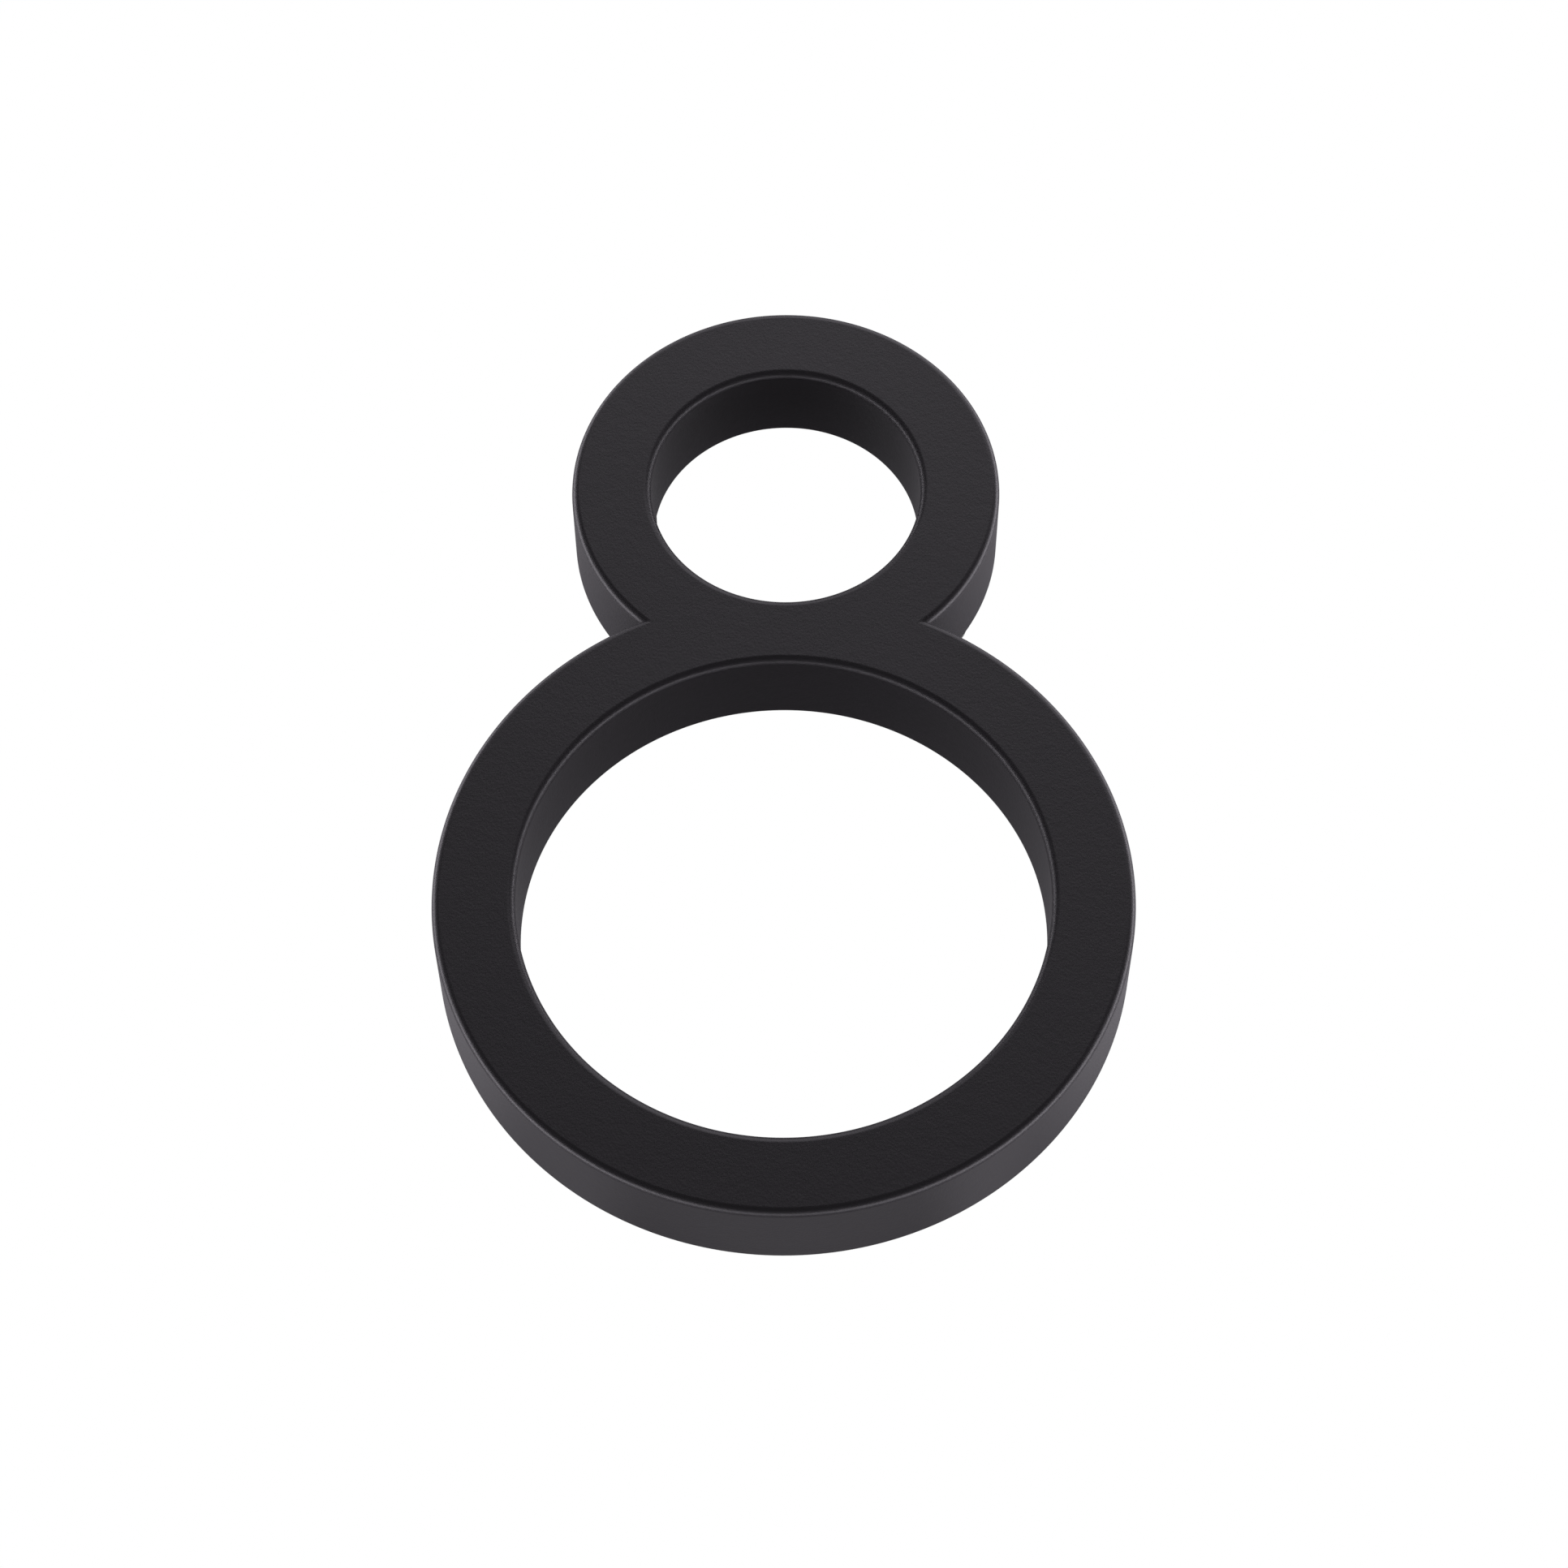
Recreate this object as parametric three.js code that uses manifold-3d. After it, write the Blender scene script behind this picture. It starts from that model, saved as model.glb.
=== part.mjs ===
// A house number, the digit 8, that stands off a wall on four studs.
// Millimetres, +Z up. The wall is the plane Y = 0, and the number faces -Y.
// The origin is on the wall, behind the middle of the number's height and width.

import * as THREE from "three";
import { mergeVertices } from "three/addons/utils/BufferGeometryUtils.js";
import Module from "manifold-3d";

// The digit: two rings of one strip width, whose outlines run into each other at a waist.
const NUMBER_HEIGHT = 127;
const LOWER_OUTER_RADIUS = 42;
const RING_SPACING = 58;
const STRIP_WIDTH = 10;
const CASTING_DEPTH = 12;
const FRONT_EDGE_RADIUS = 1;
const UPPER_OUTER_RADIUS = NUMBER_HEIGHT - RING_SPACING - LOWER_OUTER_RADIUS;

// The hollow in the casting's back, with its bosses and webs.
const SIDE_WALL = 2;
const FACE_WALL = 2.6;
const BOSS_RADIUS = 4.2;
const WEB_THICKNESS = 1.6;
const WEB_RECESS = 4;
const TAPPED_DEPTH = 8.5;

// The fixings, from the wall outwards.
const STAND_OFF = 12;
const STUD_RADIUS = 2;
const STUD_LENGTH = 40;
const STUD_CHAMFER = 0.5;
const STUD_IN_BOSS = 8;
const RUNNING_GAP = 0.3;
const SPACER_RADIUS = 4;
const SPACER_CHAMFER = 0.4;
const PLUG_LENGTH = 25;
const PLUG_RADIUS = 3.5;
const PLUG_BORE_DEPTH = 22;
const PLUG_RIM_RADIUS = 4.5;
const PLUG_RIM_THICKNESS = 1;
const PLUG_COLLAR_LENGTH = 3;
const PLUG_TIP_LENGTH = 4;
const PLUG_TIP_RADIUS = 2.6;
const BARB_COUNT = 5;
const BARB_DEPTH = 0.5;
const BARB_RISE_SHARE = 0.15;
const BARB_CREST_SHARE = 0.4;
const PLUG_SLIT_WIDTH = 1;

// How finely round things are drawn, and how far a cutter reaches past what it cuts.
const ROUND_SEGMENTS = 20;
const FILLET_STEPS = 4;
const OVERSHOOT = 1;

const lowerRing = {
  z: LOWER_OUTER_RADIUS - NUMBER_HEIGHT / 2,
  radius: LOWER_OUTER_RADIUS,
  segments: 96,
  webAngles: [-35, -70, -110, -145, 38, 142],
};
const upperRing = {
  z: lowerRing.z + RING_SPACING,
  radius: UPPER_OUTER_RADIUS,
  segments: 72,
  webAngles: [60, 120, -38, -142],
};
const rings = [lowerRing, upperRing];

const fixings = [
  { name: "upper_left", x: -21, z: upperRing.z + 6.5 },
  { name: "upper_right", x: 21, z: upperRing.z + 6.5 },
  { name: "lower_left", x: -37, z: lowerRing.z + 1.5 },
  { name: "lower_right", x: 37, z: lowerRing.z + 1.5 },
];

const backY = -STAND_OFF;
const frontY = backY - CASTING_DEPTH;
const boreRadius = STUD_RADIUS + RUNNING_GAP;

const wasm = await Module();
wasm.setup();

// A closed geometry as a manifold-3d solid. Triangles that shrink to a line at a pole are dropped.
function solid(geometry) {
  const bare = geometry.clone();
  bare.deleteAttribute("normal");
  bare.deleteAttribute("uv");
  const merged = mergeVertices(bare, 1e-4);
  const corners = [];
  for (let i = 0; i < merged.index.count; i += 3) {
    const [a, b, c] = [0, 1, 2].map((k) => merged.index.getX(i + k));
    if (a !== b && b !== c && c !== a) corners.push(a, b, c);
  }
  return new wasm.Manifold(new wasm.Mesh({
    numProp: 3,
    vertProperties: new Float32Array(merged.attributes.position.array),
    triVerts: new Uint32Array(corners),
  }));
}

function geometryOf(manifold) {
  const mesh = manifold.getMesh();
  const geometry = new THREE.BufferGeometry();
  geometry.setAttribute("position", new THREE.BufferAttribute(mesh.vertProperties, mesh.numProp));
  geometry.setIndex(new THREE.BufferAttribute(mesh.triVerts, 1));
  geometry.computeVertexNormals();
  return geometry;
}

// A solid turned about an axis along Y. The profile's pairs are [radius, y], with y rising.
function turned(profile, segments, x, z) {
  const points = profile.map(([radius, y]) => new THREE.Vector2(radius, y));
  const geometry = new THREE.LatheGeometry(points, segments);
  geometry.translate(x, 0, z);
  return solid(geometry);
}

function rod(radius, fromY, toY, x, z, segments = ROUND_SEGMENTS) {
  return turned([[0, fromY], [radius, fromY], [radius, toY], [0, toY]], segments, x, z);
}

function joined(solids) {
  return solids.reduce((whole, next) => whole.add(next));
}

// The points of a quarter round about [centreRadius, centreY], from one angle to another.
function quarterRound(centreRadius, centreY, fromAngle, toAngle) {
  const points = [];
  for (let step = 0; step <= FILLET_STEPS; step += 1) {
    const angle = THREE.MathUtils.degToRad(fromAngle + ((toAngle - fromAngle) * step) / FILLET_STEPS);
    points.push([
      centreRadius + FRONT_EDGE_RADIUS * Math.cos(angle),
      centreY + FRONT_EDGE_RADIUS * Math.sin(angle),
    ]);
  }
  return points;
}

// A ring's disc, its front edge rounded.
function disc(ring) {
  const edge = quarterRound(ring.radius - FRONT_EDGE_RADIUS, frontY + FRONT_EDGE_RADIUS, -90, 0);
  return turned([[0, frontY], ...edge, [ring.radius, backY], [0, backY]], ring.segments, 0, ring.z);
}

// What a ring's hole takes away: a cylinder that flares out to round the hole's front edge.
function holeCutter(ring) {
  const radius = ring.radius - STRIP_WIDTH;
  const flare = quarterRound(radius + FRONT_EDGE_RADIUS, frontY + FRONT_EDGE_RADIUS, 270, 180);
  const mouth = radius + FRONT_EDGE_RADIUS;
  const profile = [
    [0, frontY - OVERSHOOT], [mouth, frontY - OVERSHOOT], ...flare,
    [radius, backY + OVERSHOOT], [0, backY + OVERSHOOT],
  ];
  return turned(profile, ring.segments, 0, ring.z);
}

// A thin web across the strip, at an angle round its ring.
function web(ring, angle) {
  const depth = CASTING_DEPTH - WEB_RECESS;
  const box = new THREE.BoxGeometry(STRIP_WIDTH - SIDE_WALL, depth, WEB_THICKNESS);
  box.translate(ring.radius - STRIP_WIDTH / 2, frontY + depth / 2, 0);
  box.rotateY(-THREE.MathUtils.degToRad(angle));
  box.translate(0, 0, ring.z);
  return solid(box);
}

// The hollow behind the face: the digit's outline drawn in by the side wall, less bosses and webs.
function backHollow() {
  const floorY = frontY + FACE_WALL;
  const toY = backY + OVERSHOOT;
  const outside = joined(rings.map(({ radius, z, segments }) => (
    rod(radius - SIDE_WALL, floorY, toY, 0, z, segments))));
  const holes = joined(rings.map(({ radius, z, segments }) => {
    const insideRadius = radius - STRIP_WIDTH + SIDE_WALL;
    return rod(insideRadius, floorY - OVERSHOOT, toY + OVERSHOOT, 0, z, segments);
  }));
  const bosses = joined(fixings.map(({ x, z }) => (
    rod(BOSS_RADIUS, floorY - OVERSHOOT, toY + OVERSHOOT, x, z))));
  const webs = joined(rings.flatMap((ring) => ring.webAngles.map((angle) => web(ring, angle))));
  return outside.subtract(holes).subtract(bosses).subtract(webs);
}

function digitCasting() {
  const tappedHoles = joined(fixings.map(({ x, z }) => (
    rod(boreRadius, backY - TAPPED_DEPTH, backY + OVERSHOOT, x, z))));
  return joined(rings.map(disc))
    .subtract(joined(rings.map(holeCutter)))
    .subtract(backHollow())
    .subtract(tappedHoles);
}

function stud({ x, z }) {
  const fromY = backY - STUD_IN_BOSS;
  const toY = fromY + STUD_LENGTH;
  const endRadius = STUD_RADIUS - STUD_CHAMFER;
  const profile = [
    [0, fromY], [endRadius, fromY], [STUD_RADIUS, fromY + STUD_CHAMFER],
    [STUD_RADIUS, toY - STUD_CHAMFER], [endRadius, toY], [0, toY],
  ];
  return turned(profile, ROUND_SEGMENTS, x, z);
}

// The sleeve between the plug's rim and the casting's back, with chamfered ends.
function spacer({ x, z }) {
  const toY = -PLUG_RIM_THICKNESS;
  const endRadius = SPACER_RADIUS - SPACER_CHAMFER;
  const profile = [
    [boreRadius, backY], [endRadius, backY], [SPACER_RADIUS, backY + SPACER_CHAMFER],
    [SPACER_RADIUS, toY - SPACER_CHAMFER], [endRadius, toY], [boreRadius, toY], [boreRadius, backY],
  ];
  return turned(profile, ROUND_SEGMENTS, x, z);
}

// A plug pushed into the wall: rim, collar, barbs that slope towards the tip, and a slit shank.
function wallPlug({ x, z }) {
  const barbPitch = (PLUG_LENGTH - PLUG_COLLAR_LENGTH - PLUG_TIP_LENGTH) / BARB_COUNT;
  const barbs = [];
  for (let i = 0; i < BARB_COUNT; i += 1) {
    const y = PLUG_COLLAR_LENGTH + i * barbPitch;
    barbs.push(
      [PLUG_RADIUS - BARB_DEPTH, y],
      [PLUG_RADIUS, y + barbPitch * BARB_RISE_SHARE],
      [PLUG_RADIUS, y + barbPitch * BARB_CREST_SHARE],
    );
  }
  const profile = [
    [boreRadius, PLUG_BORE_DEPTH], [boreRadius, -PLUG_RIM_THICKNESS],
    [PLUG_RIM_RADIUS, -PLUG_RIM_THICKNESS], [PLUG_RIM_RADIUS, 0],
    [PLUG_RADIUS, 0], [PLUG_RADIUS, PLUG_COLLAR_LENGTH - BARB_DEPTH], ...barbs,
    [PLUG_RADIUS - BARB_DEPTH, PLUG_LENGTH - PLUG_TIP_LENGTH],
    [PLUG_TIP_RADIUS, PLUG_LENGTH], [0, PLUG_LENGTH],
  ];
  const whole = turned([[0, PLUG_BORE_DEPTH], ...profile], ROUND_SEGMENTS, x, z);
  const slitFrom = PLUG_COLLAR_LENGTH + 1;
  const slitTo = PLUG_LENGTH - PLUG_TIP_LENGTH;
  const slit = new THREE.BoxGeometry(2 * PLUG_RIM_RADIUS, slitTo - slitFrom, PLUG_SLIT_WIDTH);
  slit.translate(x, (slitFrom + slitTo) / 2, z);
  return whole.subtract(solid(slit));
}

const finishes = {
  powderCoat: { color: 0x2e2d31, roughness: 0.5, metalness: 0 },
  zincPlate: { color: 0xb9bcc0, roughness: 0.35, metalness: 1 },
  blackNylon: { color: 0x232325, roughness: 0.6, metalness: 0 },
  greyNylon: { color: 0xa9acae, roughness: 0.55, metalness: 0 },
};

function named(name, manifold, finish) {
  const mesh = new THREE.Mesh(geometryOf(manifold), new THREE.MeshStandardMaterial(finish));
  mesh.name = name;
  return mesh;
}

const houseNumber = new THREE.Group();
houseNumber.add(named("digit_casting", digitCasting(), finishes.powderCoat));
for (const fixing of fixings) {
  houseNumber.add(
    named(`stud_${fixing.name}`, stud(fixing), finishes.zincPlate),
    named(`spacer_${fixing.name}`, spacer(fixing), finishes.blackNylon),
    named(`wall_plug_${fixing.name}`, wallPlug(fixing), finishes.greyNylon),
  );
}

export default houseNumber;
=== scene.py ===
"""A house number, the digit 8, that stands off a wall on four studs: its looks, light and camera.

Metres, +Z up. The wall is the plane Y = 0, the number faces -Y, and +X is the reader's right."""

import math

import bmesh
import bpy
from mathutils import Matrix, Vector


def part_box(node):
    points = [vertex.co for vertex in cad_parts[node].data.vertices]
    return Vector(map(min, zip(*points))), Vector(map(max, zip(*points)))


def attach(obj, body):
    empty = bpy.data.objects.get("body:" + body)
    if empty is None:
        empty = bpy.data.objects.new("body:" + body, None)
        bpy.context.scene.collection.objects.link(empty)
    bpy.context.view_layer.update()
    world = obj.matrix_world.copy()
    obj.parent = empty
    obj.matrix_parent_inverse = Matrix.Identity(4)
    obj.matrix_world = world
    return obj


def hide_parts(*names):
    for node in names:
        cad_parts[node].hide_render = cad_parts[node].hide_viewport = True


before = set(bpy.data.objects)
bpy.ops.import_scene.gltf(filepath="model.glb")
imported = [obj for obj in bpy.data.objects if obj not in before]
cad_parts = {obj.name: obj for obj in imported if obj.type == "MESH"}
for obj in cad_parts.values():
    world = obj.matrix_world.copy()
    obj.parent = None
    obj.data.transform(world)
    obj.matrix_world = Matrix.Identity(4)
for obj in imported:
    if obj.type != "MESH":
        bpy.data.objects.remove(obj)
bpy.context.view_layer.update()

MM = 0.001
PLACES = ("upper_left", "upper_right", "lower_left", "lower_right")

# The casting. Its box gives the height, the width and the depth.
STRIP_WIDTH = 10 * MM
RING_SPACING = 58 * MM
FRONT_EDGE_RADIUS = 1.0 * MM
BACK_EDGE_RADIUS = 0.25 * MM
ROUND_STEPS = 8
BACK_ROUND_STEPS = 3
SIDE_WALL = 2 * MM
FACE_WALL = 2.6 * MM
BOSS_RADIUS = 4.2 * MM
WEB_THICKNESS = 1.6 * MM
WEB_RECESS = 4 * MM
BORE_RADIUS = 2.3 * MM
TAPPED_DEPTH = 8.5 * MM
EJECTOR_RADIUS = 1.9 * MM
EJECTOR_DEPTH = 0.15 * MM
OVERSHOOT = 1 * MM
SHORTEST_EDGE = 0.02 * MM
DOUBLED_POINTS = 0.001 * MM
SHARP_ANGLE = 45
SAME_PLACE = 0.01 * MM

# The studs' thread. A tooth's places along the thread are shares of its pitch.
THREAD_PITCH = 0.7 * MM
THREAD_DEPTH = 0.42 * MM
THREAD_STEPS = 24
TOOTH_CUTS = 3
TOOTH_FROM = 0.4
TOOTH_TO = 0.9
CREST_MIDDLE = 0.62
CREST_SHARE = 0.4
SPARE_TURNS = 3
STUD_CLEARANCE = 1.05
STUD_CHAMFER = 0.6 * MM

# The spacers.
SPACER_CHAMFER = 0.4 * MM
SPACER_MOUTH_CHAMFER = 0.25 * MM
FLASH_WIDTH = 0.14 * MM
FLASH_HEIGHT = 0.05 * MM
MOUTH_REACH = 1.1

# The wall plugs. A barb's places along the plug are shares of the barbs' pitch.
PLUG_RADIUS = 3.5 * MM
PLUG_ROOT_RADIUS = 2.95 * MM
PLUG_TIP_RADIUS = 2.1 * MM
PLUG_TIP_LENGTH = 4 * MM
PLUG_COLLAR_LENGTH = 5 * MM
PLUG_CHAMFER = 0.4 * MM
PLUG_BORE_DEPTH = 21.5 * MM
PLUG_BORE_TAPER = 0.93
RIM_THICKNESS = 1 * MM
RIM_ROUNDING = 0.25 * MM
BARB_COUNT = 8
BARB_RISE = 0.7
BARB_CREST = 0.82
BARB_FALL = 0.95
SLIT_WIDTH = 0.8 * MM
SLIT_START = 1 * MM
SLIT_ANGLES = (0, 90)
WING_START = 0.3 * MM
WING_LENGTH = 7 * MM
WING_REACH = 4.3 * MM
WING_THICKNESS = 1.0 * MM
WING_ROUNDING = 0.35 * MM
WING_ANGLES = (45, 225)


# ---------------------------------------------------------------- modelling steps

def deselect_everything():
    bpy.ops.object.select_all(action="DESELECT")


def make_active(obj):
    deselect_everything()
    obj.select_set(True)
    bpy.context.view_layer.objects.active = obj


def apply_modifier(obj, kind, **settings):
    """Adds a modifier with these settings and applies it to the mesh."""
    make_active(obj)
    modifier = obj.modifiers.new(kind.lower(), kind)
    for key, value in settings.items():
        setattr(modifier, key, value)
    bpy.ops.object.modifier_apply(modifier=modifier.name)


def use_up(obj, tool, operation):
    """Joins obj to tool or cuts it by tool, and takes tool away."""
    apply_modifier(obj, "BOOLEAN", object=tool, operation=operation, solver="EXACT")
    bpy.data.objects.remove(tool)
    return obj


def new_piece(name):
    """Fixes the place and turn of the primitive just added into its mesh, and names it."""
    bpy.ops.object.transform_apply(location=True, rotation=True, scale=True)
    bpy.context.object.name = name
    return bpy.context.object


def cylinder(name, radius, from_y, to_y, x, z, sides=48):
    """A closed cylinder along Y."""
    deselect_everything()
    bpy.ops.mesh.primitive_cylinder_add(
        vertices=sides, radius=radius, depth=to_y - from_y,
        location=(x, (from_y + to_y) / 2, z), rotation=(math.radians(90), 0, 0))
    return new_piece(name)


def block(name, size, middle, angle=0.0):
    """A box of this size about a middle, its length turned by an angle in the plane of the wall."""
    deselect_everything()
    bpy.ops.mesh.primitive_cube_add(size=1, location=middle, rotation=(0, -angle, 0))
    bpy.context.object.scale = size
    return new_piece(name)


def drawn_out(name, profile, x, z, sides):
    """A solid turned about an axis along Y, drawn out from a disc. The profile's pairs are (radius, y)."""
    (radius, y), *steps = profile
    deselect_everything()
    bpy.ops.mesh.primitive_circle_add(
        vertices=sides, radius=radius, fill_type="NGON", location=(x, y, z),
        rotation=(math.radians(90), 0, 0))
    obj = new_piece(name)
    bpy.ops.object.mode_set(mode="EDIT")
    bpy.ops.mesh.select_all(action="SELECT")
    for next_radius, next_y in steps:
        bpy.ops.mesh.extrude_region_move(TRANSFORM_OT_translate={"value": (0, next_y - y, 0)})
        growth = next_radius / radius
        bpy.ops.transform.resize(value=(growth, 1, growth), center_override=(x, next_y, z))
        radius, y = next_radius, next_y
    bpy.ops.object.mode_set(mode="OBJECT")
    clean(obj)
    return obj


def select_points(obj, wanted):
    """In edit mode, selects the points for which wanted(place) holds."""
    bpy.ops.mesh.select_mode(type="VERT")
    bpy.ops.mesh.select_all(action="DESELECT")
    mesh = bmesh.from_edit_mesh(obj.data)
    for point in mesh.verts:
        point.select_set(wanted(point.co))
    mesh.select_flush(True)
    bmesh.update_edit_mesh(obj.data)


def bevel_edges(obj, wanted, width, segments):
    """Bevels the sharp edges for which wanted(the edge's middle) holds."""
    clean(obj, SHORTEST_EDGE)
    bpy.ops.object.mode_set(mode="EDIT")
    bpy.ops.mesh.select_mode(type="EDGE")
    bpy.ops.mesh.select_all(action="DESELECT")
    mesh = bmesh.from_edit_mesh(obj.data)
    for edge in mesh.edges:
        middle = (edge.verts[0].co + edge.verts[1].co) / 2
        if edge.calc_face_angle(0.0) > math.radians(SHARP_ANGLE) and wanted(middle):
            edge.select_set(True)
    bmesh.update_edit_mesh(obj.data)
    bpy.ops.mesh.bevel(offset=width, segments=segments, profile=0.5, affect="EDGES")
    bpy.ops.object.mode_set(mode="OBJECT")


def clean(obj, distance=DOUBLED_POINTS):
    """Merges doubled points and turns all faces outwards."""
    make_active(obj)
    bpy.ops.object.mode_set(mode="EDIT")
    bpy.ops.mesh.select_all(action="SELECT")
    bpy.ops.mesh.remove_doubles(threshold=distance)
    bpy.ops.mesh.normals_make_consistent(inside=False)
    bpy.ops.object.mode_set(mode="OBJECT")


def smooth(obj, degrees=32):
    """Shades rounded parts smooth, and keeps broad flat faces flat."""
    make_active(obj)
    bpy.ops.object.shade_smooth_by_angle(angle=math.radians(degrees))
    apply_modifier(obj, "WEIGHTED_NORMAL", keep_sharp=True, weight=100)


def near(value, target):
    return abs(value - target) < SAME_PLACE


# ---------------------------------------------------------------- the digit

casting_low, casting_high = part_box("digit_casting")
back_y = casting_high.y
front_y = casting_low.y
lower_radius = (casting_high.x - casting_low.x) / 2
lower_z = casting_low.z + lower_radius
upper_z = lower_z + RING_SPACING
upper_radius = casting_high.z - upper_z
LOWER_RING = {
    "radius": lower_radius, "z": lower_z, "sides": 256,
    "webs": (-35, -70, -110, -145, 38, 142), "ejectors": (-15, -52, -90, -128, -165, 22, 158),
}
UPPER_RING = {
    "radius": upper_radius, "z": upper_z, "sides": 176,
    "webs": (60, 120, -38, -142), "ejectors": (40, 90, 140, -10, -170),
}
RINGS = (LOWER_RING, UPPER_RING)
fixings = {place: sum(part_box(f"stud_{place}"), Vector()) / 2 for place in PLACES}


def on_strip(ring, angle, y):
    """The point in the middle of a ring's strip, at an angle in degrees from the reader's right."""
    reach = ring["radius"] - STRIP_WIDTH / 2
    turn = math.radians(angle)
    return Vector((reach * math.cos(turn), y, ring["z"] + reach * math.sin(turn)))


def ring_discs(inset, from_y, to_y):
    """Both rings' discs as one solid, drawn in from their outlines by inset."""
    discs = [
        cylinder("disc", ring["radius"] - inset, from_y, to_y, 0, ring["z"], ring["sides"])
        for ring in RINGS]
    return use_up(discs[0], discs[1], "UNION")


def cut_holes(obj, inset, from_y, to_y):
    """Cuts both rings' round holes out of obj, made wider by inset."""
    for ring in RINGS:
        radius = ring["radius"] - STRIP_WIDTH + inset
        use_up(obj, cylinder("hole", radius, from_y, to_y, 0, ring["z"], ring["sides"]), "DIFFERENCE")


def quarter_round(centre_radius, centre_y, rounding, from_degrees, steps):
    """The points of a quarter round that starts at an angle and turns back by 90 degrees."""
    angles = [math.radians(from_degrees - 90 * step / steps) for step in range(steps + 1)]
    return [
        (centre_radius + rounding * math.cos(angle), centre_y + rounding * math.sin(angle))
        for angle in angles]


def rounded_disc(ring):
    """A ring's disc, the edges of its front and back rounded."""
    radius = ring["radius"]
    front = quarter_round(
        radius - FRONT_EDGE_RADIUS, front_y + FRONT_EDGE_RADIUS, FRONT_EDGE_RADIUS, 0, ROUND_STEPS)
    back = quarter_round(
        radius - BACK_EDGE_RADIUS, back_y - BACK_EDGE_RADIUS, BACK_EDGE_RADIUS, 90, BACK_ROUND_STEPS)
    return drawn_out("disc", back + front, 0, ring["z"], ring["sides"])


def flared_hole(ring):
    """What a ring's hole takes away: a cylinder that flares out at the front and the back."""
    radius = ring["radius"] - STRIP_WIDTH
    front = quarter_round(
        radius + FRONT_EDGE_RADIUS, front_y + FRONT_EDGE_RADIUS, FRONT_EDGE_RADIUS, 270, ROUND_STEPS)
    back = quarter_round(
        radius + BACK_EDGE_RADIUS, back_y - BACK_EDGE_RADIUS, BACK_EDGE_RADIUS, 180, BACK_ROUND_STEPS)
    front_mouth = (front[0][0], front_y - OVERSHOOT)
    back_mouth = (back[-1][0], back_y + OVERSHOOT)
    return drawn_out("hole", [front_mouth, *front, *back, back_mouth], 0, ring["z"], ring["sides"])


def web(ring, angle):
    """A thin web across the strip, lower than the casting's back."""
    depth = back_y - front_y - WEB_RECESS
    middle = on_strip(ring, angle, front_y + depth / 2)
    return block("web", (STRIP_WIDTH - SIDE_WALL, depth, WEB_THICKNESS), middle, math.radians(angle))


def back_hollow():
    """The hollow in the casting's back, less its bosses and webs."""
    floor_y = front_y + FACE_WALL
    top_y = back_y + OVERSHOOT
    hollow = ring_discs(SIDE_WALL, floor_y, top_y)
    cut_holes(hollow, SIDE_WALL, floor_y - OVERSHOOT, top_y + OVERSHOOT)
    for spot in fixings.values():
        boss = cylinder("boss", BOSS_RADIUS, floor_y - OVERSHOOT, top_y + OVERSHOOT, spot.x, spot.z)
        use_up(hollow, boss, "DIFFERENCE")
    for ring in RINGS:
        for angle in ring["webs"]:
            use_up(hollow, web(ring, angle), "DIFFERENCE")
    clean(hollow)
    return hollow


def ejector_marks(digit):
    """Shallow round marks that the mould's ejector pins leave in the hollow's floor."""
    floor_y = front_y + FACE_WALL
    for ring in RINGS:
        for angle in ring["ejectors"]:
            spot = on_strip(ring, angle, 0)
            low_y = floor_y - EJECTOR_DEPTH
            mark = cylinder("mark", EJECTOR_RADIUS, low_y, floor_y + OVERSHOOT, spot.x, spot.z, 32)
            use_up(digit, mark, "DIFFERENCE")


def digit_casting():
    """The digit: two rings run into each other, rounded in front, hollow and tapped at the back."""
    digit = use_up(rounded_disc(LOWER_RING), rounded_disc(UPPER_RING), "UNION")
    for ring in RINGS:
        use_up(digit, flared_hole(ring), "DIFFERENCE")
    use_up(digit, back_hollow(), "DIFFERENCE")
    ejector_marks(digit)
    for spot in fixings.values():
        hole = cylinder("tapped", BORE_RADIUS, back_y - TAPPED_DEPTH, back_y + OVERSHOOT, spot.x, spot.z)
        use_up(digit, hole, "DIFFERENCE")
    clean(digit)
    digit.name = "digit_body"
    smooth(digit)
    return digit


# ---------------------------------------------------------------- studs, spacers and plugs

first_spot = fixings[PLACES[0]]


def at_all_fixings(first, kind):
    """Copies the piece made at the first fixing to the others, each with its own mesh."""
    made = {PLACES[0]: first}
    for place in PLACES[1:]:
        copy = first.copy()
        copy.data = first.data.copy()
        copy.data.transform(Matrix.Translation(fixings[place] - first_spot))
        bpy.context.scene.collection.objects.link(copy)
        made[place] = copy
    for place, obj in made.items():
        obj.name = f"{kind}_{place}"
    return made


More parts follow.
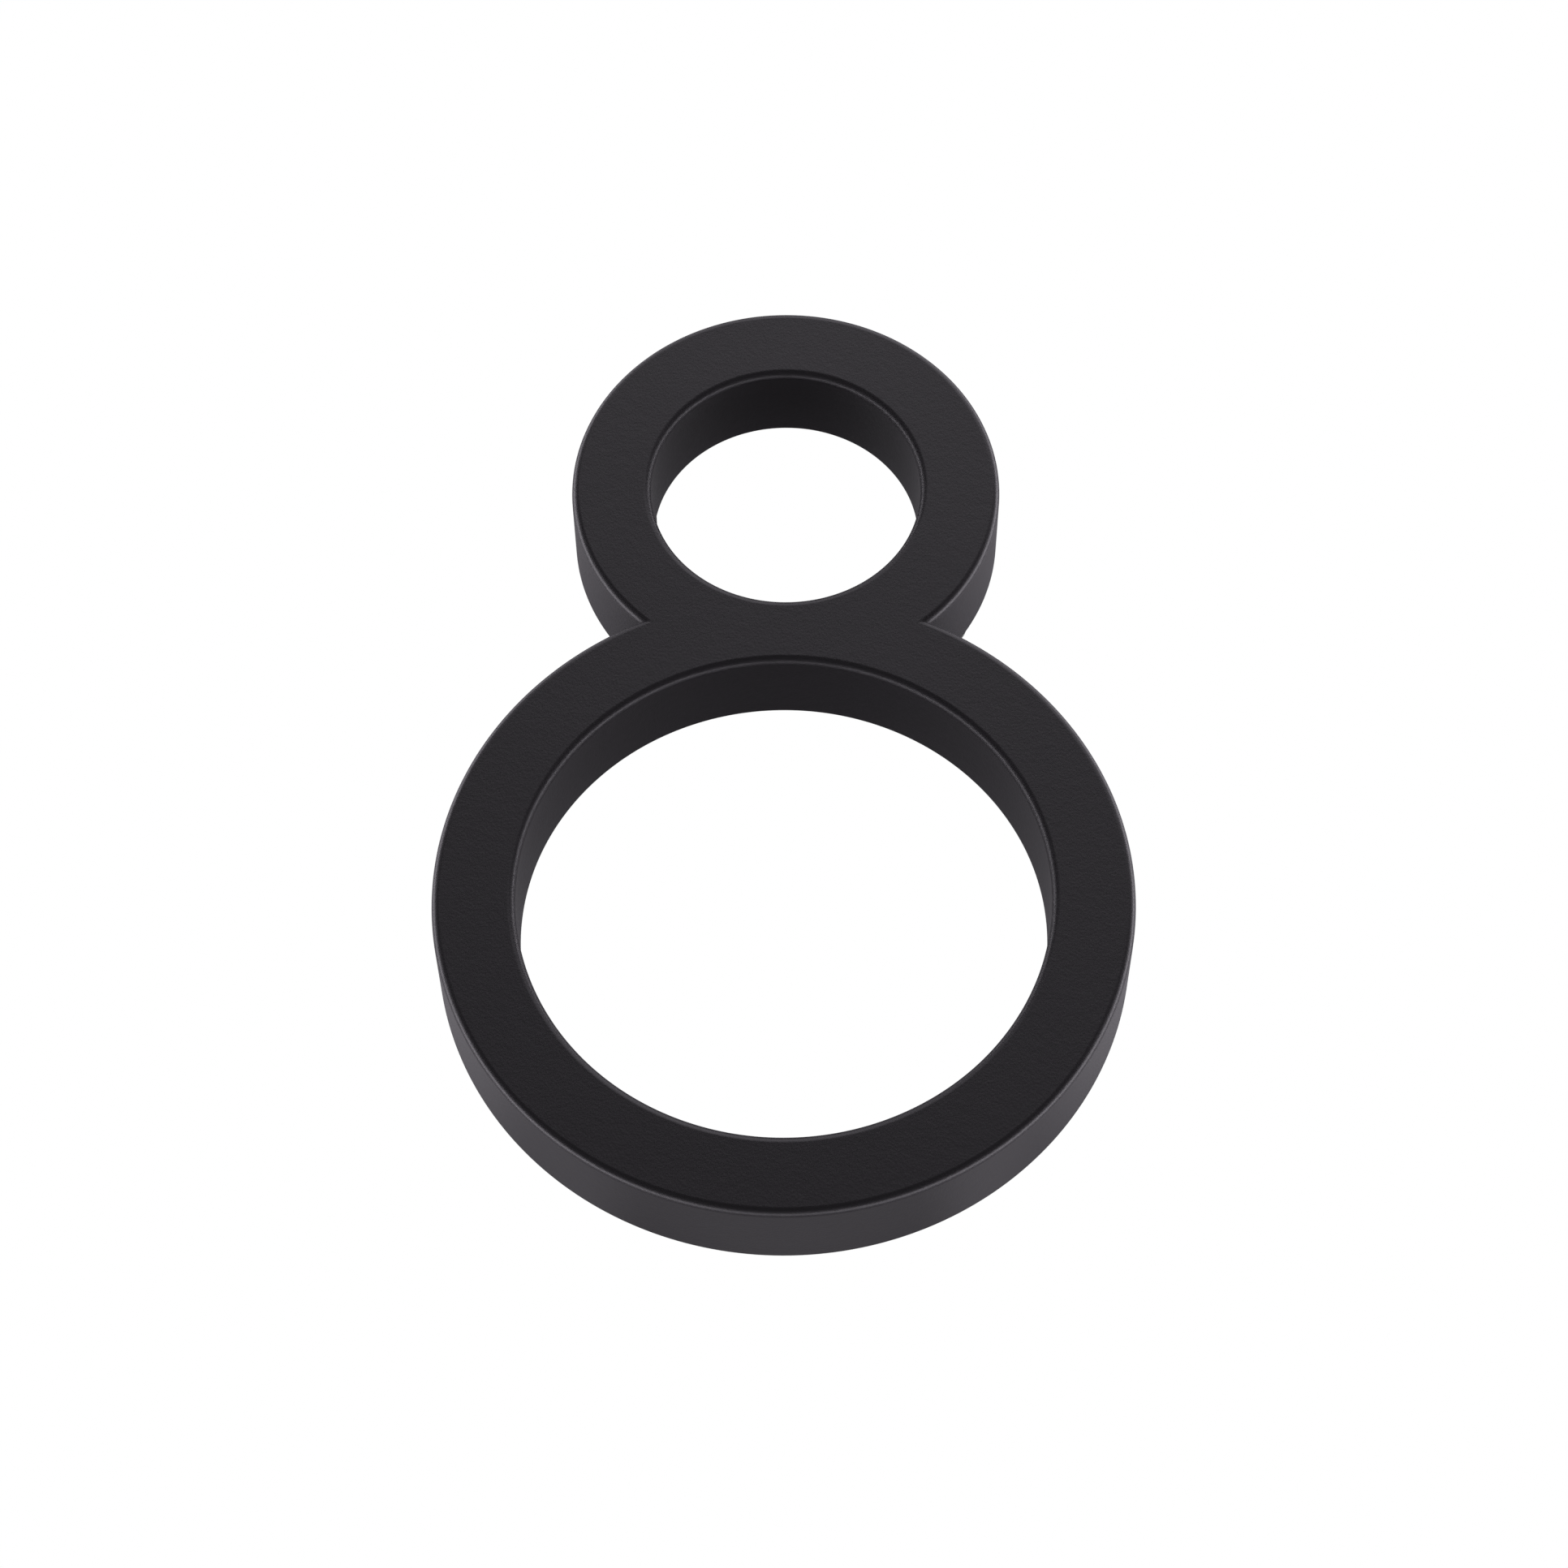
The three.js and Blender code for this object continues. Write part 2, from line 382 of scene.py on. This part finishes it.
def thread_coil(root_radius, crest_radius, turns):
    """A screw thread about the Y axis from Y = 0, swept from one tooth's outline and closed at its ends."""
    deselect_everything()
    bpy.ops.mesh.primitive_plane_add(size=THREAD_PITCH, location=(root_radius, THREAD_PITCH / 2, 0))
    coil = new_piece("thread")
    bpy.ops.object.mode_set(mode="EDIT")
    select_points(coil, lambda at: at.x > root_radius)
    bpy.ops.mesh.delete(type="VERT")
    bpy.ops.mesh.select_all(action="SELECT")
    bpy.ops.transform.translate(value=(THREAD_PITCH / 2, 0, 0))
    bpy.ops.mesh.subdivide(number_cuts=TOOTH_CUTS)
    select_points(coil, lambda at: TOOTH_FROM < at.y / THREAD_PITCH < TOOTH_TO)
    bpy.ops.transform.translate(value=(crest_radius - root_radius, 0, 0))
    crest_middle = (crest_radius, THREAD_PITCH * CREST_MIDDLE, 0)
    bpy.ops.transform.resize(value=(1, CREST_SHARE, 1), center_override=crest_middle)
    bpy.ops.object.mode_set(mode="OBJECT")
    apply_modifier(
        coil, "SCREW", axis="Y", angle=math.radians(360), screw_offset=THREAD_PITCH,
        iterations=turns, steps=THREAD_STEPS, render_steps=THREAD_STEPS)
    clean(coil)
    bpy.ops.object.mode_set(mode="EDIT")
    bpy.ops.mesh.select_all(action="SELECT")
    bpy.ops.mesh.fill_holes(sides=0)
    bpy.ops.mesh.normals_make_consistent(inside=False)
    bpy.ops.object.mode_set(mode="OBJECT")
    return coil


def threaded_stud():
    """A stud with a rolled thread from end to end, and chamfered ends."""
    low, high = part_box(f"stud_{PLACES[0]}")
    radius = (high.x - low.x) / 2
    turns = math.ceil((high.y - low.y) / THREAD_PITCH) + SPARE_TURNS
    stud = thread_coil(radius - THREAD_DEPTH, radius, turns)
    from_y = low.y - SPARE_TURNS / 2 * THREAD_PITCH
    stud.data.transform(Matrix.Translation((first_spot.x, from_y, first_spot.z)))
    length = cylinder("length", radius * STUD_CLEARANCE, low.y, high.y, first_spot.x, first_spot.z)
    bevel_edges(length, lambda middle: True, STUD_CHAMFER, 1)
    use_up(stud, length, "INTERSECT")
    clean(stud)
    smooth(stud, 25)
    return stud


def spacer_sleeve():
    """A moulded sleeve with chamfered ends, and the mould's fine line down both sides."""
    low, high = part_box(f"spacer_{PLACES[0]}")
    radius = (high.x - low.x) / 2
    x, z = first_spot.x, first_spot.z
    sleeve = cylinder("sleeve", radius, low.y, high.y, x, z, 72)
    bevel_edges(sleeve, lambda middle: True, SPACER_CHAMFER, 3)
    flash_length = high.y - low.y - 2.5 * SPACER_CHAMFER
    flash_size = (2 * (radius + FLASH_HEIGHT), flash_length, FLASH_WIDTH)
    use_up(sleeve, block("flash", flash_size, (x, (low.y + high.y) / 2, z)), "UNION")
    bore = cylinder("bore", BORE_RADIUS, low.y - OVERSHOOT, high.y + OVERSHOOT, x, z)
    use_up(sleeve, bore, "DIFFERENCE")

    def in_mouth(middle):
        return math.hypot(middle.x - x, middle.z - z) < BORE_RADIUS * MOUTH_REACH

    bevel_edges(sleeve, in_mouth, SPACER_MOUTH_CHAMFER, 2)
    clean(sleeve)
    smooth(sleeve)
    return sleeve


def plug_profile(rim_y, tip_y, rim_radius):
    """The plug's outline from its tip to its rim, and down its bore."""
    barbs_from = tip_y - PLUG_TIP_LENGTH
    pitch = (barbs_from - PLUG_COLLAR_LENGTH) / BARB_COUNT
    profile = [(PLUG_TIP_RADIUS, tip_y), (PLUG_TIP_RADIUS + PLUG_CHAMFER, tip_y - PLUG_CHAMFER)]
    for number in range(BARB_COUNT):
        y = barbs_from - number * pitch
        profile += [
            (PLUG_ROOT_RADIUS, y), (PLUG_RADIUS, y - BARB_RISE * pitch),
            (PLUG_RADIUS, y - BARB_CREST * pitch), (PLUG_ROOT_RADIUS, y - BARB_FALL * pitch)]
    wall_y = rim_y + RIM_THICKNESS
    inner_radius = rim_radius - RIM_ROUNDING
    return profile + [
        (PLUG_ROOT_RADIUS, PLUG_COLLAR_LENGTH), (PLUG_RADIUS, PLUG_COLLAR_LENGTH - PLUG_CHAMFER),
        (PLUG_RADIUS, wall_y), (rim_radius, wall_y), (rim_radius, rim_y + RIM_ROUNDING),
        (inner_radius, rim_y), (BORE_RADIUS + RIM_ROUNDING, rim_y),
        (BORE_RADIUS, rim_y + RIM_ROUNDING), (BORE_RADIUS * PLUG_BORE_TAPER, PLUG_BORE_DEPTH)]


def wall_plug():
    """A nylon plug: rim, collar with two wings, barbs, and four jaws between two slits."""
    low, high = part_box(f"wall_plug_{PLACES[0]}")
    x, z = first_spot.x, first_spot.z
    plug = drawn_out("plug", plug_profile(low.y, high.y, (high.x - low.x) / 2), x, z, 48)
    wing_end = WING_START + WING_LENGTH
    for angle in WING_ANGLES:
        turn = math.radians(angle)
        reach = (PLUG_ROOT_RADIUS + WING_REACH) / 2
        middle_y = WING_START + WING_LENGTH / 2
        middle = (x + reach * math.cos(turn), middle_y, z + reach * math.sin(turn))
        size = (WING_REACH - PLUG_ROOT_RADIUS, WING_LENGTH, WING_THICKNESS)
        wing = block("wing", size, middle, turn)
        bevel_edges(wing, lambda at: near(at.y, wing_end), WING_ROUNDING, 2)
        use_up(plug, wing, "UNION")
    slit_from = PLUG_COLLAR_LENGTH + SLIT_START
    slit_length = PLUG_BORE_DEPTH - slit_from
    for angle in SLIT_ANGLES:
        size = (4 * PLUG_RADIUS, slit_length, SLIT_WIDTH)
        slit = block("slit", size, (x, slit_from + slit_length / 2, z), math.radians(angle))
        use_up(plug, slit, "DIFFERENCE")
    clean(plug)
    smooth(plug)
    return plug


# ---------------------------------------------------------------- finishes

# Grain is given as two noise scales per metre, a bump strength and a bump height.
COAT_COLOR = (0.023, 0.021, 0.024)
COAT_ROUGHNESS = 0.42
COAT_GRAIN = ((900, 3600), 0.1, 0.15 * MM)
COAT_PATCH_SCALE = 45.0
COAT_PATCH_ROUGHNESS = (0.39, 0.46)

ZINC_COLOR = (0.55, 0.56, 0.58)
ZINC_BLUE = (0.47, 0.5, 0.56, 1)
ZINC_YELLOW = (0.62, 0.61, 0.57, 1)
ZINC_ROUGHNESS = 0.3
ZINC_GRAIN = ((1500, 6000), 0.08, 0.08 * MM)
ZINC_TINT_SCALE = 160.0

BLACK_NYLON = (0.012, 0.012, 0.013)
BLACK_NYLON_ROUGHNESS = 0.5
GREY_NYLON = (0.35, 0.37, 0.345)
GREY_NYLON_ROUGHNESS = 0.45
NYLON_GRAIN = ((700, 2800), 0.15, 0.12 * MM)
NYLON_CLOUD_SCALE = 220.0
NYLON_ROUGHNESS_SWING = 0.06


def new_finish(name, color, roughness, metallic=0.0):
    """A material with its shader's plain sockets set, and the function that adds a linked node to it."""
    made = bpy.data.materials.new(name)
    made.use_nodes = True
    shader = made.node_tree.nodes["Principled BSDF"]
    shader.inputs["Base Color"].default_value = (*color, 1)
    shader.inputs["Roughness"].default_value = roughness
    shader.inputs["Metallic"].default_value = metallic

    def add(kind, links=(), **values):
        node = made.node_tree.nodes.new(kind)
        for key, value in values.items():
            socket = node.inputs.get(key.replace("_", " ").title())
            if socket is None:
                setattr(node, key, value)
            else:
                socket.default_value = value
        for source, key in links:
            made.node_tree.links.new(source, node.inputs[key])
        return node

    return made, shader, add


def connect(made, source, target):
    made.node_tree.links.new(source, target)


def grain_bump(made, shader, add, scales, strength, height):
    """Bump from two sizes of grain, in the piece's own coordinates."""
    where = add("ShaderNodeTexCoord").outputs["Object"]
    coarse = add("ShaderNodeTexNoise", [(where, "Vector")], scale=scales[0], detail=2.0)
    fine = add("ShaderNodeTexNoise", [(where, "Vector")], scale=scales[1], detail=2.0)
    both = add("ShaderNodeMath", [(coarse.outputs["Fac"], 0), (fine.outputs["Fac"], 1)], operation="ADD")
    bump = add("ShaderNodeBump", [(both.outputs[0], "Height")], strength=strength, distance=height)
    connect(made, bump.outputs["Normal"], shader.inputs["Normal"])
    return where


def black_powder_coat():
    """Fine matt black powder coat over the casting: a soft orange peel under a tight grain."""
    made, shader, add = new_finish("black_powder_coat", COAT_COLOR, COAT_ROUGHNESS)
    where = grain_bump(made, shader, add, *COAT_GRAIN)
    patches = add("ShaderNodeTexNoise", [(where, "Vector")], scale=COAT_PATCH_SCALE, detail=3.0)
    least, most = COAT_PATCH_ROUGHNESS
    spread = add("ShaderNodeMapRange", [(patches.outputs["Fac"], "Value")], to_min=least, to_max=most)
    connect(made, spread.outputs[0], shader.inputs["Roughness"])
    return made


def zinc_plated_steel():
    """Bright zinc on a rolled thread, its blue passivation uneven."""
    made, shader, add = new_finish("zinc_plated_steel", ZINC_COLOR, ZINC_ROUGHNESS, 1.0)
    where = grain_bump(made, shader, add, *ZINC_GRAIN)
    tint = add("ShaderNodeTexNoise", [(where, "Vector")], scale=ZINC_TINT_SCALE, detail=3.0)
    colors = add("ShaderNodeMix", [(tint.outputs["Fac"], "Factor")], data_type="RGBA")
    colors.inputs["A"].default_value = ZINC_BLUE
    colors.inputs["B"].default_value = ZINC_YELLOW
    connect(made, colors.outputs["Result"], shader.inputs["Base Color"])
    return made


def moulded_nylon(name, color, roughness):
    """Moulded nylon: a waxy face with the mould's fine spark texture."""
    made, shader, add = new_finish(name, color, roughness)
    where = grain_bump(made, shader, add, *NYLON_GRAIN)
    cloud = add("ShaderNodeTexNoise", [(where, "Vector")], scale=NYLON_CLOUD_SCALE, detail=2.0)
    spread = add(
        "ShaderNodeMapRange", [(cloud.outputs["Fac"], "Value")],
        to_min=roughness - NYLON_ROUGHNESS_SWING, to_max=roughness + NYLON_ROUGHNESS_SWING)
    connect(made, spread.outputs[0], shader.inputs["Roughness"])
    return made


# ---------------------------------------------------------------- camera, light and floor

CAMERA_PLACE = Vector((2.7, -450.5, -250.9)) * MM
CAMERA_TILT = 29.77
CAMERA_TURN = 0.365
CAMERA_ROLL = 0.3
CAMERA_LENS = 93.3
SENSOR_WIDTH = 36
CLIP_START = 0.01
CLIP_END = 20

# The studio's light by the way it comes from: +X right, -Y front, +Z up. Each lobe's edge and core are
# the cosines of the angles at which its light starts and is full.
SIDE_STRIPS = 7.5
RIGHT_STRIP_MORE = 0.6
UNDER_STRIP = 3.0
STRIP_SPREAD = 0.28
SOFTBOX_WAY = (0.1, -0.55, 0.84)
SOFTBOX_EDGE = 0.86
SOFTBOX_CORE = 0.98
SOFTBOX_LIGHT = 1.75
GLOW_WAY = (0, 0.93, 0.3)
GLOW_EDGE = 0.44
GLOW_CORE = 0.98
GLOW_LIGHT = 0.265
FILL_WAY = (0, -0.75, -0.65)
FILL_EDGE = 0.35
FILL_CORE = 0.95
FILL_LIGHT = 0.18
STUDIO_TINT = (1.0, 0.955, 1.035)

# Lit cards behind the number and clear of its outline: middle X, middle Z, width, height and light.
CARDS = (
    (-112 * MM, -15 * MM, 90 * MM, 250 * MM, 0.57),
    (112 * MM, -15 * MM, 90 * MM, 250 * MM, 0.63),
    (-54 * MM, -72 * MM, 32 * MM, 34 * MM, 0.25),
    (54 * MM, -72 * MM, 32 * MM, 34 * MM, 0.36),
    (0, -125 * MM, 200 * MM, 90 * MM, 0.38))
CARD_Y = 40 * MM

FLOOR_Z = -0.34
FLOOR_RADIUS = 6
FLOOR_COLOR = (0.88, 0.92, 0.85)
FLOOR_ROUGHNESS = 0.8


def add_camera():
    """The camera in front of the number and below it, looking up at it."""
    camera = bpy.data.objects.new("camera", bpy.data.cameras.new("camera"))
    bpy.context.scene.collection.objects.link(camera)
    camera.data.lens = CAMERA_LENS
    camera.data.sensor_width = SENSOR_WIDTH
    camera.data.clip_start = CLIP_START
    camera.data.clip_end = CLIP_END
    camera.matrix_world = (
        Matrix.Translation(CAMERA_PLACE)
        @ Matrix.Rotation(math.radians(CAMERA_TURN), 4, "Z")
        @ Matrix.Rotation(math.radians(90 + CAMERA_TILT), 4, "X")
        @ Matrix.Rotation(math.radians(CAMERA_ROLL), 4, "Z"))
    bpy.context.scene.camera = camera


def add_world():
    """White to the camera, and a studio to everything else: strips level with the number at its sides
    and underneath, a softbox above and in front, a dim glow behind, and a dim fill in front and below."""
    world = bpy.data.worlds.new("studio")
    world.use_nodes = True
    bpy.context.scene.world = world
    bpy.context.scene.view_settings.view_transform = "Standard"
    tree = world.node_tree

    def add(kind, links=(), **settings):
        node = tree.nodes.new(kind)
        for key, value in settings.items():
            setattr(node, key, value)
        for socket, value in links:
            if isinstance(value, bpy.types.NodeSocket):
                tree.links.new(value, node.inputs[socket])
            else:
                node.inputs[socket].default_value = value
        return node.outputs[0]

    def math_of(operation, *values):
        return add("ShaderNodeMath", list(enumerate(values)), operation=operation)

    def lobe(middle, edge, core, light):
        """Light about a middle direction, none outside its edge and full inside its core."""
        along = tree.nodes.new("ShaderNodeVectorMath")
        along.operation = "DOT_PRODUCT"
        along.inputs[1].default_value = Vector(middle).normalized()
        tree.links.new(way, along.inputs[0])
        cosine = along.outputs["Value"]
        limits = [("Value", cosine), ("From Min", edge), ("From Max", core), ("To Max", light)]
        return add("ShaderNodeMapRange", limits, interpolation_type="SMOOTHSTEP")

    way = tree.nodes.new("ShaderNodeTexCoord").outputs["Generated"]
    x, y, z = tree.nodes.new("ShaderNodeSeparateXYZ").outputs
    tree.links.new(way, x.node.inputs[0])
    both_sides = math_of("MULTIPLY", math_of("ABSOLUTE", x), SIDE_STRIPS)
    right_side = math_of("MULTIPLY", math_of("MAXIMUM", x, 0.0), RIGHT_STRIP_MORE)
    under = math_of("MULTIPLY", math_of("MAXIMUM", math_of("MULTIPLY", z, -1.0), 0.0), UNDER_STRIP)
    strips = math_of("ADD", math_of("ADD", both_sides, right_side), under)
    off_level = math_of("ABSOLUTE", y)
    level = math_of("SUBTRACT", 1.0, math_of("MINIMUM", math_of("DIVIDE", off_level, STRIP_SPREAD), 1.0))
    ring_light = math_of("MULTIPLY", strips, level)
    softbox = lobe(SOFTBOX_WAY, SOFTBOX_EDGE, SOFTBOX_CORE, SOFTBOX_LIGHT)
    glow = lobe(GLOW_WAY, GLOW_EDGE, GLOW_CORE, GLOW_LIGHT)
    fill = lobe(FILL_WAY, FILL_EDGE, FILL_CORE, FILL_LIGHT)
    studio_light = math_of("ADD", math_of("ADD", ring_light, softbox), math_of("ADD", glow, fill))

    studio = tree.nodes["Background"]
    studio.inputs["Color"].default_value = (*STUDIO_TINT, 1)
    tree.links.new(studio_light, studio.inputs["Strength"])
    paper = add("ShaderNodeBackground", [("Color", (1, 1, 1, 1))])
    to_camera = tree.nodes.new("ShaderNodeLightPath").outputs["Is Camera Ray"]
    seen = add("ShaderNodeMixShader", [(0, to_camera), (1, studio.outputs[0]), (2, paper)])
    tree.links.new(seen, tree.nodes["World Output"].inputs["Surface"])


def add_cards():
    """The lit cards, out of the camera's sight. They face the number's back and light its outer sides."""
    for x, z, width, height, light in CARDS:
        bpy.ops.object.light_add(type="AREA", location=(x, CARD_Y, z), rotation=(math.radians(-90), 0, 0))
        card = bpy.context.object
        card.name = "card"
        card.data.shape = "RECTANGLE"
        card.data.size = width
        card.data.size_y = height
        card.data.color = STUDIO_TINT
        card.data.energy = light * math.pi * width * height
        card.visible_camera = False


def add_floor():
    """A plain pale floor. Its paint makes up for the light's tint, and it casts nothing on the number."""
    deselect_everything()
    bpy.ops.mesh.primitive_circle_add(
        vertices=96, radius=FLOOR_RADIUS, fill_type="NGON", location=(0, 0, FLOOR_Z))
    floor = new_piece("floor")
    paint, _, _ = new_finish("floor_paint", FLOOR_COLOR, FLOOR_ROUGHNESS)
    floor.data.materials.append(paint)
    floor.visible_glossy = False
    floor.visible_diffuse = False


# ---------------------------------------------------------------- putting it together

def dress(obj, finish, body, node):
    """Gives a finished piece its material and body, and hides the CAD node that it stands in for."""
    obj.data.materials.clear()
    obj.data.materials.append(finish)
    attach(obj, body)
    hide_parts(node)


add_camera()
add_world()
add_cards()
add_floor()
dress(digit_casting(), black_powder_coat(), "number", "digit_casting")
black_nylon = moulded_nylon("black_nylon", BLACK_NYLON, BLACK_NYLON_ROUGHNESS)
grey_nylon = moulded_nylon("grey_nylon", GREY_NYLON, GREY_NYLON_ROUGHNESS)
for kind, first, finish, body, slot in (
        ("stud", threaded_stud(), zinc_plated_steel(), "number", "zinc_steel"),
        ("spacer", spacer_sleeve(), black_nylon, "number", "black_nylon"),
        ("wall_plug", wall_plug(), grey_nylon, "wall_fixings", "grey_nylon")):
    for place, obj in at_all_fixings(first, f"fine_{kind}").items():
        dress(obj, finish, body, f"{kind}_{place}")
